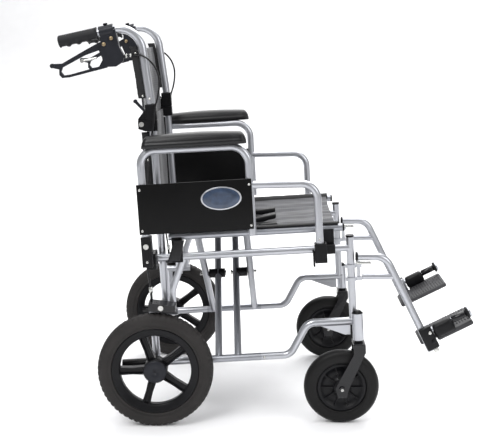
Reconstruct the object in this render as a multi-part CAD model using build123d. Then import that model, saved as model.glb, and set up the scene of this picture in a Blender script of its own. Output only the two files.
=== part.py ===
from build123d import *
import math
import os

# Manual wheelchair, attendant-propelled, with a folding cross-brace frame.
# +X is forward, +Y is the user's left, +Z is up; the origin is on the floor,
# under the centre of the bounding box. Sizes are in millimetres.
# The side frames are drawn square to the floor and then raked nose-up by RAKE
# about the floor point under the rear axle: "frame" places below are (s, y, w).

os.makedirs("parts", exist_ok=True)

# ---- driving dimensions
REAR_AXLE_X = -287.4
RAKE = 3.4
TUBE_R = 10.0
WALL = 2.0
RUN = 0.05
GAP = 0.3

SIDE_Y = 235.0
POST_Y = 214.6
ARM_Y = 292.0
PANEL_Y = 305.0
PAD_Y = 309.0
STEM_Y = 258.0
WHEEL_Y = 281.0

LOW_W = 156.0
STUB_W = 294.0
RAIL_W = 441.5
FRONT_LOW_W = 241.5
POST_S = 41.8
FRONT_S = 538.5
STEM_S = 548.0
POST_TOP_W = 776.0

REAR_WHEEL_R = 152.5
REAR_WHEEL_W = 40.0
RIM_R = 115.0
RIM_INNER_R = 94.0
HUB_R = 31.0
AXLE_R = 6.0
CASTER_R = 100.0
CASTER_W = 36.0
CASTER_HUB_R = 66.0
CASTER_X = 492.0

BRACE_R = 9.5
BRACE_CENTRE_W = 331.5
SEAT_Y = 216.0
BRACE_A_S = (174.5, 226.2)
BRACE_B_S = (139.0, 268.5)
PIVOT_TUBE_S = (120.0, 289.0)
SEAT_S = (62.0, 522.0)
SEAT_THICK = 3.0

HINGE_S = 15.0
HINGE_W = 796.0
HINGE_PART_W = 805.0
CANE_LOW_W = 847.0
CANE_R = 11.0
CANE_CORNER = (25.7, 1052.7)
CANE_BEND_R = 60.0
HANDLE_SLOPE = 8.9
GRIP_R = 14.0
GRIP_LENGTH = 98.0

ARM_PIVOT = (12.1, 489.5)
ARM_TOP_W = 735.0
ARM_FRONT_S = 286.5
LOOP_W = 632.0
LOOP_S = 457.0
SOCKET_W = (420.0, 471.0)

PANEL_S = (-2.0, 285.0)
PANEL_W = (520.0, 650.0)
PANEL_THICK = 3.0

HANGER_Z = 448.0
HANGER_CORNER_X = 604.9
HANGER_FALL = 26.5
PLATE_SLOPE = 27.0
PLATE_PIVOT = (716.0, 244.0)
PLATE_LENGTH = 150.0
PLATE_WIDTH = 120.0

CABLE_R = 2.5


# ---- helpers
def place(shape):
    """Moves a shape drawn in frame places (s, y, w) to its place on the chair."""
    return Pos(REAR_AXLE_X, 0, 0) * Rot(0, -RAKE, 0) * shape


def upright(shape):
    """Moves a shape drawn level, with x from the rear axle, to its place."""
    return Pos(REAR_AXLE_X, 0, 0) * shape


def rod(start, end, radius):
    """A solid bar between two points."""
    start, end = Vector(*start), Vector(*end)
    axis = end - start
    bar = Cylinder(radius, axis.length, align=(Align.CENTER, Align.CENTER, Align.MIN))
    return Plane(origin=start, z_dir=axis) * bar


def tube(start, end, radius=TUBE_R, wall=WALL):
    """A straight hollow tube."""
    return rod(start, end, radius) - rod(start, end, radius - wall)


def swept(points, bend, radius, bore=0.0):
    """A bent bar, or a bent tube when it has a bore, with one radius per corner."""
    path = FilletPolyline(*points, radius=bend)
    first = Vector(*points[1]) - Vector(*points[0])
    section = Circle(radius)
    if bore:
        section = section - Circle(bore)
    return sweep(Plane(origin=points[0], z_dir=first) * section, path=path)


def block(low, high, fillet_edges=0.0):
    """A box between two corners, with its long edges rounded on request."""
    size = [b - a for a, b in zip(low, high)]
    centre = [(a + b) / 2 for a, b in zip(low, high)]
    body = Box(*size)
    if fillet_edges:
        body = fillet(body.edges(), fillet_edges)
    return Pos(*centre) * body


def plate_xz(points, y_from, y_to):
    """A flat plate with its outline in X and Z, between two Y planes."""
    outline = make_face(Polyline(*[(x, 0, z) for x, z in points], close=True))
    length = abs(y_to - y_from)
    slab = extrude(outline, amount=length, dir=(0, 1, 0))
    return Pos(0, min(y_from, y_to), 0) * slab


def ring_y(x, z, y_from, y_to, outer, inner=0.0):
    """A disc or ring about an axis along Y."""
    body = rod((x, y_from, z), (x, y_to, z), outer)
    if inner:
        body = body - rod((x, y_from - 1, z), (x, y_to + 1, z), inner)
    return body


def frame_point(x, z):
    """The frame place (s, w) of a level place (x, z)."""
    turn = math.radians(RAKE)
    return (x * math.cos(turn) + z * math.sin(turn), z * math.cos(turn) - x * math.sin(turn))


def both_sides(name, make):
    """Writes a right-hand node and its mirrored left-hand twin."""
    right = make()
    save("right_" + name, right)
    save("left_" + name, mirror(right, about=Plane.XZ))


def save(name, shape):
    """Writes one node."""
    solids = shape.solids()
    body = solids[0] if len(solids) == 1 else Compound(children=list(solids))
    export_step(body, "parts/" + name + ".step")


AXLE_S, AXLE_W = frame_point(0, REAR_WHEEL_R)
REST_ANGLE = math.degrees(math.atan2(BRACE_CENTRE_W - LOW_W, SIDE_Y))
SEAT_W = BRACE_CENTRE_W + SEAT_Y * math.tan(math.radians(REST_ANGLE))


# ---- side frame: welded aluminium tubes
def side_frame():
    y = -SIDE_Y
    rear_post = tube((POST_S, -POST_Y, STUB_W - 12), (POST_S, -POST_Y, POST_TOP_W))
    axle_hole = rod((AXLE_S, y - 20, AXLE_W), (AXLE_S, y + 20, AXLE_W), AXLE_R)
    front_post = tube((FRONT_S, y, FRONT_LOW_W), (FRONT_S, y, 470))
    front_bar = rod((FRONT_S, y, 200), (FRONT_S, y, 470), TUBE_R)
    side_rail = tube((8, y, RAIL_W), (FRONT_S, y, RAIL_W)) - front_bar
    front_low = swept(
        [(PIVOT_TUBE_S[1] + 0.4, y, LOW_W), (366.5, y, LOW_W), (416.5, y, FRONT_LOW_W),
         (STEM_S, y, FRONT_LOW_W)], 34, TUBE_R, TUBE_R - WALL)
    housing = rod((STEM_S, -STEM_Y, 197), (STEM_S, -STEM_Y, 269), 14.5)
    front_low = front_low - housing
    front_post = front_post - rod((400, y, FRONT_LOW_W), (STEM_S + 5, y, FRONT_LOW_W), TUBE_R)
    front_post = front_post - housing
    bore = rod((STEM_S, -STEM_Y, 190), (STEM_S, -STEM_Y, 262), 8 + RUN)
    low_rear = tube((-14, y, LOW_W), (PIVOT_TUBE_S[0] - 0.4, y, LOW_W)) - axle_hole
    stub = tube((-2, y, STUB_W), (74, y, STUB_W))
    stub_bar = rod((-2, y, STUB_W), (74, y, STUB_W), TUBE_R)
    low_bar = rod((-14, y, LOW_W), (80, y, LOW_W), TUBE_R)
    axle_post = tube((AXLE_S, y, LOW_W), (AXLE_S, y, STUB_W)) - stub_bar - low_bar
    rail_bar = rod((8, y, RAIL_W), (200, y, RAIL_W), TUBE_R)
    strut = swept([(100, y, RAIL_W), (64, y, 352), (62, y, STUB_W)], 40, 9, 7)
    strut = strut - rail_bar - stub_bar
    gusset = plate_xz([(452, 231.4), (533, 231.4), (533, 205), (515, 205)], y - 4, y + 4)
    gusset = gusset - housing - front_bar - rod((400, y, FRONT_LOW_W), (600, y, FRONT_LOW_W), TUBE_R)
    inner_r = TUBE_R - WALL - RUN
    spigots = [rod((PIVOT_TUBE_S[1] - 18, y, LOW_W), (PIVOT_TUBE_S[1] + 24, y, LOW_W), inner_r),
               rod((PIVOT_TUBE_S[0] - 24, y, LOW_W), (PIVOT_TUBE_S[0] + 18, y, LOW_W), inner_r)]
    return [rear_post, front_post, side_rail, front_low, housing - bore, low_rear, stub, axle_post,
            strut, gusset] + spigots


# ---- black fittings on the side frame
def fittings():
    y = -SIDE_Y
    rail = rod((0, y, RAIL_W), (FRONT_S, y, RAIL_W), TUBE_R)
    post = rod((POST_S, -POST_Y, 280), (POST_S, -POST_Y, POST_TOP_W), TUBE_R)
    cap = rod((FRONT_S, y, 470), (FRONT_S, y, 475), TUBE_R + 1)
    low = (Align.CENTER, Align.CENTER, Align.MIN)
    stem_cap = Pos(STEM_S, -STEM_Y, 269) * Cone(15, 8, 7, align=low)
    seat_rod = rod((0, -SEAT_Y, SEAT_W), (600, -SEAT_Y, SEAT_W), TUBE_R + GAP + 0.3)
    strut = rod((100, y, RAIL_W), (64, y, 352), 9.3)
    parts = [cap, stem_cap]
    for s in (84, 484):
        cradle = block((s - 15, -SIDE_Y - 12, RAIL_W - 13), (s + 15, -SIDE_Y + 14, RAIL_W + 12), 3)
        tower = block((s - 14, -SEAT_Y - 15, RAIL_W + 4), (s + 14, -SEAT_Y + 15, SEAT_W - 1), 2)
        over = block((s - 20, -SEAT_Y - TUBE_R - GAP, SEAT_W), (s + 20, 0, SEAT_W + 40))
        parts.append(cradle + tower - rail - seat_rod - over - strut)
    arm_s, arm_w = ARM_PIVOT
    sleeve = block((arm_s - 13, -ARM_Y - 14, 434), (arm_s + 14, -ARM_Y + 14, 514), 2)
    slot = block((arm_s - 30, -ARM_Y - TUBE_R - GAP, 440), (arm_s + TUBE_R + 1, -ARM_Y + TUBE_R + GAP, 530))
    bolt = ring_y(arm_s, arm_w, -ARM_Y - 20, -ARM_Y + 20, 4)
    parts.append(sleeve - slot - bolt)
    clamp = block((8, -ARM_Y + 14, 420), (31.5, -SIDE_Y + 11, 463), 2) - rail - post
    parts.append(clamp)
    socket_s = LOOP_S
    socket = block((socket_s - 14, -ARM_Y - 14, SOCKET_W[0]), (socket_s + 17, -ARM_Y + 14, SOCKET_W[1]), 2)
    well = block((socket_s - TUBE_R - 0.5, -ARM_Y - TUBE_R - GAP, 434),
                 (socket_s + 13.5, -ARM_Y + TUBE_R + GAP, 480))
    parts.append(socket - well)
    front_clamp = block((socket_s - 12, -ARM_Y + 14, 425), (socket_s + 10, -SIDE_Y + 12, 458), 2) - rail
    parts.append(front_clamp)
    hinge = hinge_leaf()
    parts.append(hinge)
    rubber = rod((-84, y, LOW_W), (-14, y, LOW_W), 12)
    parts.append(rubber)
    return parts


def hinge_leaf():
    """The lower leaf of the back hinge: a block on the post and two cheeks round the pivot."""
    y = -POST_Y
    leaf = block((POST_S - 14, y - 13, POST_TOP_W + 0.2), (POST_S + 14, y + 13, HINGE_PART_W), 2)
    plug = rod((POST_S, y, POST_TOP_W - 14), (POST_S, y, POST_TOP_W + 2), TUBE_R - WALL - RUN)
    leaf = leaf + plug
    for side in (-1, 1):
        cheek = plate_xz([(HINGE_S - 9, HINGE_W - 12), (HINGE_S + 9, POST_TOP_W + 1),
                          (POST_S, POST_TOP_W + 1), (POST_S, HINGE_PART_W), (HINGE_S + 9, HINGE_PART_W),
                          (HINGE_S - 9, HINGE_PART_W)], y + side * 7.3, y + side * 13)
        leaf = leaf + cheek
    return leaf - ring_y(HINGE_S, HINGE_W, y - 20, y + 20, 4 + 0.01)


# ---- loose hardware on the side frame
def fasteners():
    arm_s, arm_w = ARM_PIVOT
    parts = [rod((AXLE_S, -SIDE_Y + 14, AXLE_W), (AXLE_S, -WHEEL_Y - 22, AXLE_W), AXLE_R)]
    parts.append(rod((AXLE_S, -SIDE_Y + 14, AXLE_W), (AXLE_S, -SIDE_Y + 21, AXLE_W), 10))
    parts.append(ring_y(arm_s, arm_w, -ARM_Y - 16, -ARM_Y + 14, 4 - 0.01))
    parts.append(ring_y(arm_s, arm_w, -ARM_Y - 18.5, -ARM_Y - 14, 7))
    parts.append(ring_y(HINGE_S, HINGE_W, -POST_Y - 16, -POST_Y + 16, 4))
    parts.append(ring_y(HINGE_S, HINGE_W, -POST_Y - 18, -POST_Y - 13, 6.5))
    boss_s, boss_w = BRAKE_PIVOT
    boss = ring_y(boss_s, boss_w, -SIDE_Y - 11, -POST_Y - 5, 7)
    boss = boss - rod((POST_S, -POST_Y, 280), (POST_S, -POST_Y, 400), TUBE_R)
    parts.append(boss)
    parts.append(ring_y(boss_s, boss_w, -WHEEL_Y - 8, -SIDE_Y - 11, 4))
    parts.append(ring_y(boss_s, boss_w, -WHEEL_Y - 12, -WHEEL_Y - 8.2, 7))
    merged = parts[0] + parts[1]
    return [merged, parts[2] + parts[3], parts[4] + parts[5], parts[6] + parts[7] + parts[8]]


# ---- rear wheel
def rear_tyre():
    half = REAR_WHEEL_W / 2
    profile = Plane.XY * make_face(
        Polyline((RIM_R, -half + 3), (RIM_R + 8, -half), (REAR_WHEEL_R - 8, -half + 1),
                 (REAR_WHEEL_R, -half + 9), (REAR_WHEEL_R, half - 9), (REAR_WHEEL_R - 8, half - 1),
                 (RIM_R + 8, half), (RIM_R, half - 3), close=True))
    ring = revolve(profile, axis=Axis.Y)
    return upright(Pos(0, -WHEEL_Y, REAR_WHEEL_R) * ring)


def rear_wheel():
    z = REAR_WHEEL_R
    y = -WHEEL_Y
    rim = ring_y(0, z, y - 16, y + 16, RIM_R - 0.05, RIM_INNER_R)
    hub = ring_y(0, z, y - 20, y + 22, HUB_R)
    cap = ring_y(0, z, y - 25, y - 20, HUB_R - 4)
    body = rim + hub + cap
    for turn in (38, 110, 182, 254, 326):
        spoke = Pos((RIM_INNER_R + HUB_R) / 2, 0, 0) * Box(RIM_INNER_R - HUB_R + 8, 20, 17)
        body = body + Pos(0, y, z) * Rot(0, -turn, 0) * spoke
    body = body - ring_y(0, z, y - 22.5, y + 30, AXLE_R + RUN)
    return upright(body)


# ---- caster
def caster_tyre():
    half = CASTER_W / 2
    profile = make_face(
        Polyline((CASTER_HUB_R, -half + 2), (CASTER_R - 12, -half), (CASTER_R - 3, -half + 5),
                 (CASTER_R, -half + 11), (CASTER_R, half - 11), (CASTER_R - 3, half - 5),
                 (CASTER_R - 12, half), (CASTER_HUB_R, half - 2), close=True))
    return upright(Pos(CASTER_X, -STEM_Y, CASTER_R) * revolve(profile, axis=Axis.Y))


def caster_wheel():
    disc = ring_y(CASTER_X, CASTER_R, -STEM_Y - 12, -STEM_Y + 12, CASTER_HUB_R - 0.05)
    hub = ring_y(CASTER_X, CASTER_R, -STEM_Y - 22, -STEM_Y + 22, 20)
    return upright(disc + hub - ring_y(CASTER_X, CASTER_R, -STEM_Y - 30, -STEM_Y + 30, 5 + RUN))


def caster_fork():
    s, w = frame_point(CASTER_X, CASTER_R)
    crown = block((STEM_S - 16, -STEM_Y - 29, 183), (STEM_S + 16, -STEM_Y + 29, 191), 2)
    stem = rod((STEM_S, -STEM_Y, 187), (STEM_S, -STEM_Y, 258), 8)
    flange = rod((STEM_S, -STEM_Y, 188), (STEM_S, -STEM_Y, 196.6), 12)
    body = crown + stem + flange
    outline = [(STEM_S - 16, 187), (STEM_S + 16, 187), (STEM_S + 16, 168), (s + 17, w - 2),
               (s + 12, w - 24), (s - 12, w - 24), (s - 17, w + 4), (STEM_S - 16, 164)]
    for side in (-1, 1):
        y_in = -STEM_Y + side * 24
        body = body + plate_xz(outline, y_in, y_in + side * 5)
    bolt = ring_y(s, w, -STEM_Y - 29, -STEM_Y + 29, 5)
    head = ring_y(s, w, -STEM_Y - 34, -STEM_Y - 29, 8)
    nut = ring_y(s, w, -STEM_Y + 29, -STEM_Y + 34, 8)
    return body + bolt + head + nut


# ---- cross brace and seat
def brace_line(s, flip, start, end, radius):
    """A brace tube at one station; flip is +1 when its foot is on the right."""
    turn = math.radians(REST_ANGLE)
    y_from, y_to = -flip * start * math.cos(turn), -flip * end * math.cos(turn)
    w_from = BRACE_CENTRE_W - start * math.sin(turn)
    w_to = BRACE_CENTRE_W - end * math.sin(turn)
    return rod((s, y_from, w_from), (s, y_to, w_to), radius)


def brace(stations, flip):
    """Two crossing tubes, their pivot tube on the lower rail and their seat rail."""
    turn = math.radians(REST_ANGLE)
    foot = SIDE_Y / math.cos(turn)
    head = -SEAT_Y / math.cos(turn)
    foot_y, head_y = -flip * SIDE_Y, flip * SEAT_Y
    pivot_bar = rod((PIVOT_TUBE_S[0], foot_y, LOW_W), (PIVOT_TUBE_S[1], foot_y, LOW_W), TUBE_R)
    pivot = pivot_bar - rod((PIVOT_TUBE_S[0] - 1, foot_y, LOW_W),
                            (PIVOT_TUBE_S[1] + 1, foot_y, LOW_W), TUBE_R - WALL)
    rail_bar = rod((SEAT_S[0], head_y, SEAT_W), (SEAT_S[1], head_y, SEAT_W), TUBE_R)
    rail = tube((SEAT_S[0], head_y, SEAT_W), (SEAT_S[1], head_y, SEAT_W))
    tubes = []
    for s in stations:
        outer = brace_line(s, flip, foot, head, BRACE_R)
        inner = brace_line(s, flip, foot, head, BRACE_R - WALL)
        tubes.append(outer - inner - pivot_bar - rail_bar)
    return pivot, rail, tubes


def brace_a():
    pivot, rail, tubes = brace(BRACE_A_S, 1)
    bolts = cross_bolt_bars(4.0)
    return [pivot, rail] + [t - bolts[0] - bolts[1] for t in tubes]


def brace_b():
    pivot, rail, tubes = brace(BRACE_B_S, -1)
    bolts = cross_bolt_bars(4.0 + RUN)
    return [pivot, rail] + [t - bolts[0] - bolts[1] for t in tubes]


def cross_bolt_bars(radius):
    """The two bolts that the braces turn about."""
    return [rod((BRACE_B_S[0] - 17, 0, BRACE_CENTRE_W), (BRACE_A_S[0] + 24, 0, BRACE_CENTRE_W), radius),
            rod((BRACE_A_S[1] - 12, 0, BRACE_CENTRE_W), (BRACE_B_S[1] + 17, 0, BRACE_CENTRE_W), radius)]


def cross_bolts():
    bars = cross_bolt_bars(4.0)
    heads = [rod((BRACE_A_S[0] + 20, 0, BRACE_CENTRE_W), (BRACE_A_S[0] + 24, 0, BRACE_CENTRE_W), 7),
             rod((BRACE_A_S[1] - 15, 0, BRACE_CENTRE_W), (BRACE_A_S[1] - 11, 0, BRACE_CENTRE_W), 7)]
    return [bars[0] + heads[0], bars[1] + heads[1]]


def cross_saddles():
    """Plastic spacers between the crossing tubes, fixed to the first brace."""
    parts = []
    spans = ((BRACE_B_S[0] + BRACE_R + GAP, BRACE_A_S[0] - 2), (BRACE_A_S[0] + 2, BRACE_A_S[0] + 20),
             (BRACE_A_S[1] + 2, BRACE_B_S[1] - BRACE_R - GAP))
    turn = math.radians(REST_ANGLE)
    foot = SIDE_Y / math.cos(turn)
    bolts = cross_bolt_bars(4.0)
    for low, high in spans:
        body = rod((low, 0, BRACE_CENTRE_W), (high, 0, BRACE_CENTRE_W), 13)
        for s in BRACE_A_S:
            body = body - brace_line(s, 1, foot, -foot, BRACE_R)
        parts.append(body - bolts[0] - bolts[1])
    return parts


def seat_half():
    """The right half of the sling seat: a flat sheet that wraps its rail."""
    wrap = rod((SEAT_S[0] + 4, -SEAT_Y, SEAT_W), (SEAT_S[1] - 14, -SEAT_Y, SEAT_W), TUBE_R + 2.2)
    wrap = wrap - rod((0, -SEAT_Y, SEAT_W), (700, -SEAT_Y, SEAT_W), TUBE_R + GAP)
    sheet = block((SEAT_S[0] + 4, -SEAT_Y, SEAT_W + TUBE_R + GAP),
                  (SEAT_S[1] - 14, -0.4, SEAT_W + TUBE_R + GAP + SEAT_THICK))
    upper = block((0, -SEAT_Y - 40, SEAT_W + 7.5), (700, -SEAT_Y + 40, SEAT_W + 60))
    return (wrap & upper) + sheet


# ---- back upholstery, a thin closed sheet behind the canes
def back_lower():
    return block((POST_S - 17, -POST_Y + 14, 520), (POST_S - 12, POST_Y - 14, HINGE_W - 22))


def back_upper():
    low = HINGE_W + 24
    lean = math.degrees(math.atan2(CANE_CORNER[0] - POST_S, CANE_CORNER[1] - CANE_LOW_W))
    sheet = block((-17, -POST_Y + 14, 0), (-12, POST_Y - 14, 975 - low))
    return Pos(POST_S, 0, low) * Rot(0, lean, 0) * sheet


# ---- push cane with its handle
def handle_point(along, above=0.0):
    """A frame place on the handle, measured back from the cane's corner."""
    turn = math.radians(HANDLE_SLOPE)
    s, w = CANE_CORNER
    return (s - along * math.cos(turn) - above * math.sin(turn),
            w - along * math.sin(turn) + above * math.cos(turn))


def cane():
    y = -POST_Y
    end_s, end_w = handle_point(208)
    body = swept([(POST_S, y, CANE_LOW_W), (CANE_CORNER[0], y, CANE_CORNER[1]), (end_s, y, end_w)],
                 CANE_BEND_R, CANE_R, CANE_R - WALL)
    return body


def cane_hinge():
    """The upper leaf of the back hinge: a tongue between the lower leaf's cheeks."""
    y = -POST_Y
    low = HINGE_PART_W + GAP
    socket = block((POST_S - 15, y - 13.5, low), (POST_S + 14, y + 13.5, CANE_LOW_W - 1.1), 2)
    plug = rod((POST_S, y, CANE_LOW_W - 2), (POST_S - 1, y, CANE_LOW_W + 16), CANE_R - WALL - 1)
    tongue = plate_xz([(HINGE_S - 9, HINGE_W), (HINGE_S + 9, HINGE_W), (HINGE_S + 9.5, low),
                       (POST_S, low), (POST_S, 840), (HINGE_S + 5, 826), (HINGE_S - 9, low + 4)],
                      y - 7, y + 7)
    body = socket + tongue + ring_y(HINGE_S, HINGE_W, y - 7, y + 7, 9)
    return body - ring_y(HINGE_S, HINGE_W, y - 20, y + 20, 4 + RUN) + plug


def hinge_release():
    """The lever behind the hinge that frees the back."""
    y = -POST_Y
    arm = plate_xz([(20.5, 828.5), (24.5, 834), (4, 858), (-1, 853)], y - 4, y + 4)
    tip = ring_y(2, 855.5, y - 5, y + 5, 5)
    pin = ring_y(23.5, 831, y - 6, y + 6, 2)
    return arm + tip + pin


def grip():
    y = -POST_Y
    s0, w0 = handle_point(108)
    s1, w1 = handle_point(108 + GRIP_LENGTH)
    s2, w2 = handle_point(108 + GRIP_LENGTH + 7)
    sleeve = rod((s0, y, w0), (s2, y, w2), GRIP_R) - rod((s0, y, w0), (s1 - 3, y, w1), CANE_R + 0.02)
    end_s, end_w = handle_point(209)
    sleeve = sleeve - rod((s0, y, w0), (end_s, y, end_w), CANE_R + 0.05)
    for step in range(4):
        s, w = handle_point(122 + step * 24, -GRIP_R - 0.5)
        rib = Pos(s, y, w) * Rot(0, 90 - HANDLE_SLOPE, 0) * Cylinder(4, 9)
        sleeve = sleeve + (rib - rod((s0, y, w0), (end_s, y, end_w), GRIP_R - 1))
    return sleeve


# ---- hand brake
LEVER_PIVOT = frame_point(-126.0, 1000.7)


def level_outline(points):
    """Turns level (x, z) places into frame places."""
    return [frame_point(x, z) for x, z in points]


def brake_housing():
    y = -POST_Y
    outline = level_outline([(-134, 1038), (-97, 1046), (-94, 1029), (-87, 995), (-74, 971), (-79, 955),
                             (-96, 944), (-118, 943), (-130, 960), (-134, 999)])
    body = plate_xz(outline, y - 11, y + 11)
    lever_room = plate_xz(level_outline([(-150, 1018), (-108, 1018), (-100, 985), (-96, 960), (-104, 930),
                                         (-150, 930)]), y - 5.3, y + 5.3)
    finish_s, finish_w = handle_point(140)
    collar_a, collar_b = handle_point(66), handle_point(103)
    collar = rod((collar_a[0], y, collar_a[1]), (collar_b[0], y, collar_b[1]), CANE_R + 4)
    bend_room = swept([(POST_S, y, CANE_LOW_W), (CANE_CORNER[0], y, CANE_CORNER[1]),
                       (finish_s, y, finish_w)], CANE_BEND_R, CANE_R + 0.02)
    body = body + collar - lever_room - bend_room
    pivot = ring_y(LEVER_PIVOT[0], LEVER_PIVOT[1], y - 14, y + 14, 3.5)
    barrel_a, barrel_b = frame_point(-77, 969.5), frame_point(-55, 973)
    barrel = rod((barrel_a[0], y, barrel_a[1]), (barrel_b[0], y, barrel_b[1]), 4.5)
    return body + barrel + pivot


def brake_lever():
    y = -POST_Y
    outer = level_outline([(-134, 1008), (-118, 1008), (-108, 975), (-112, 950), (-120, 940.5), (-216, 916),
                           (-236, 914), (-243, 922), (-243, 936), (-262, 940), (-262, 950), (-236, 951),
                           (-176, 985)])
    inner = level_outline([(-140, 985), (-176, 972), (-234, 941), (-238, 930), (-231, 921), (-216, 923),
                           (-140, 944), (-130, 962)])
    body = plate_xz(outer, y - 4.5, y + 4.5) - plate_xz(inner, y - 6, y + 6)
    tip_s, tip_w = frame_point(-261, 945)
    body = body + ring_y(tip_s, tip_w, y - 5, y + 5, 6)
    return body - ring_y(LEVER_PIVOT[0], LEVER_PIVOT[1], y - 14, y + 14, 3.5 + RUN)


def parking_tab():
    """The tab in the lever loop that holds the brake on."""
    y = -POST_Y
    s0, w0 = frame_point(-146, 966)
    s1, w1 = frame_point(-184, 958)
    return rod((s0, y, w0), (s1, y, w1), 3.2) + ring_y(s1, w1, y - 4, y + 4, 5)


# ---- wheel brake
BRAKE_PIVOT = frame_point(16.4, 322.0)


def wheel_brake():
    """A shoe bar over the tyre, turned by the cable at its rear end."""
    outline = level_outline([(-16, 311.5), (54, 309.5), (54, 326), (-16, 335)])
    body = plate_xz(outline, -WHEEL_Y - 8, -SIDE_Y - 12)
    body = body - ring_y(BRAKE_PIVOT[0], BRAKE_PIVOT[1], -WHEEL_Y - 20, -SIDE_Y + 10, 4 + RUN)
    pin_s, pin_w = frame_point(-11, 335)
    return body + rod((pin_s, -SIDE_Y - 17, pin_w - 3), (pin_s, -SIDE_Y - 17, pin_w + 24), 3.5)


# ---- brake cable
def cable_upper():
    y = -POST_Y
    points = [(4, y, 974), (12, y - 2, 974.5), (22, y - 15, 974.5), (36, y - 18, 970), (51, y - 19, 957),
              (64, y - 19, 938), (71, y - 19, 909), (65, y - 19, 868), (52, y - 19, 836)]
    return swept(points, [9, 9, 14, 24, 30, 30, 40], CABLE_R)


def cable_lower():
    y = -POST_Y - 19
    points = [(51.8, y, 832.5), (49, y, 806), (40, y, 768), (27, y + 3, 700), (21, y + 5, 630), (14, y + 1, 565),
              (5, y - 10, 508), (2.5, y - 17, 450), (5, -SIDE_Y - 17, 400), (8.9, -SIDE_Y - 17, 361)]
    return swept(points, [90, 120, 150, 150, 150, 150, 150, 150], CABLE_R)


# ---- armrest
def arm_frame():
    y = -ARM_Y
    s0, w0 = ARM_PIVOT
    main = swept([(s0, y, w0), (s0, y, ARM_TOP_W), (ARM_FRONT_S, y, ARM_TOP_W - 2),
                  (ARM_FRONT_S, y, 507)], [38, 46], TUBE_R, TUBE_R - WALL)
    eye = ring_y(s0, w0, y - TUBE_R, y + TUBE_R, TUBE_R)
    eye = eye - rod((s0, y, w0), (s0, y, w0 + 30), TUBE_R)
    post = rod((ARM_FRONT_S, y, 500), (ARM_FRONT_S, y, 680), TUBE_R)
    loop = swept([(ARM_FRONT_S, y, LOOP_W), (LOOP_S, y, LOOP_W - 6), (LOOP_S, y, SOCKET_W[0] + 20)],
                 [42], TUBE_R, TUBE_R - WALL) - post
    hole = ring_y(s0, w0, y - 20, y + 20, 4 + RUN)
    cap = rod((ARM_FRONT_S, y, 503), (ARM_FRONT_S, y, 507), TUBE_R)
    return [main - hole, eye - hole, loop, cap]


def arm_pad():
    pad = block((4, -PAD_Y - 24, ARM_TOP_W + TUBE_R + 0.4), (ARM_FRONT_S - 12, -PAD_Y + 28,
                                                          ARM_TOP_W + TUBE_R + 27), 8)
    return pad


def side_panel():
    s0, s1 = PANEL_S
    w0, w1 = PANEL_W
    panel = block((s0, -PANEL_Y, w0), (s1 + 6, -PANEL_Y + PANEL_THICK - 1, w1))
    lips = []
    for s in (ARM_PIVOT[0], ARM_FRONT_S):
        hook = block((s - 12, -PANEL_Y, w0 + 6), (s + 12, -ARM_Y - 4, w1 - 6))
        hook = hook - rod((ARM_FRONT_S, -ARM_Y, LOOP_W), (LOOP_S, -ARM_Y, LOOP_W - 6), TUBE_R + GAP)
        lips.append(hook - rod((s, -ARM_Y, 300), (s, -ARM_Y, 700), TUBE_R))
    return panel + lips[0] + lips[1]


def arm_lock():
    """The lever that latches the arm in its front socket."""
    y = -ARM_Y
    s = LOOP_S - 14 - GAP
    lever = block((s - 5, y - 8, 410), (s, y + 8, 450.5), 1.5)
    return lever + ring_y(s - 3.7, 450, y - 9, y + 9, 2.5)


# ---- swing-away footrest
def level_rod(a, b, y, radius):
    """A bar between two level (x, z) places in one side plane."""
    return rod((a[0], y, a[1]), (b[0], y, b[1]), radius)


def fall_point(z):
    """The level x of the hanger's sloping run at a height."""
    return HANGER_CORNER_X + (HANGER_Z - z) * math.tan(math.radians(HANGER_FALL))


def hanger():
    y = -SIDE_Y
    path = [(531, y, HANGER_Z), (HANGER_CORNER_X, y, HANGER_Z), (fall_point(192), y, 192)]
    tube_body = swept(path, [45], TUBE_R, TUBE_R - WALL)
    tube_bar = swept(path, [45], TUBE_R)
    strut = level_rod((545, 394), (fall_point(394), 394), y, 8) - tube_bar
    parts = [upright(tube_body)]
    post = rod((FRONT_S, y, 200), (FRONT_S, y, 500), TUBE_R + RUN)
    strut = upright(strut)
    knuckles = []
    for low in (352.5, 388):
        ring = rod((FRONT_S, y, low), (FRONT_S, y, low + 9), TUBE_R + 5)
        ear = block((FRONT_S, y - 6, low), (FRONT_S + 28, y + 6, low + 9))
        knuckles.append(place(ring + ear - post) - strut)
    web = place(block((FRONT_S + 15.5, y - 3, 352.5), (FRONT_S + 24, y + 3, 404))) - strut
    web = web - upright(tube_bar)
    parts += [knuckles[0] + knuckles[1] + web, strut]
    clamp_z = math.sin(math.radians(PLATE_SLOPE))
    clamp_x = math.cos(math.radians(PLATE_SLOPE))
    px, pz = PLATE_PIVOT
    clamp = Pos(px, y - 6, pz) * Rot(0, -PLATE_SLOPE, 0) * block((-17, -10, -48), (16, 10, 14), 2)
    start = (px + 10 * clamp_x, pz + 10 * clamp_z)
    finish = (px + 118 * clamp_x, pz + 118 * clamp_z)
    knob_end = (px + 129 * clamp_x, pz + 129 * clamp_z)
    axle = level_rod(start, finish, y - 8, 7) + level_rod(finish, knob_end, y - 8, 14)
    clamp = clamp - level_rod((fall_point(300), 300), (fall_point(180), 180), y, TUBE_R)
    parts += [upright(clamp + axle)]
    return parts


def footplate():
    y = -SIDE_Y - 8
    px, pz = PLATE_PIVOT
    barrel = block((20, -12, -24), (72, 12, 10), 4)
    outer = -6
    plate = block((-26, 20, -36), (PLATE_LENGTH - 26, outer + PLATE_WIDTH, -23), 3)
    bridge = block((20, outer, -36), (PLATE_LENGTH - 26, 26, -23), 3)
    bore = rod((0, 0, 0), (100, 0, 0), 7 + RUN)
    body = barrel + bridge + plate - bore
    return upright(Pos(px, y, pz) * Rot(0, -PLATE_SLOPE, 0) * body)


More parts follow.
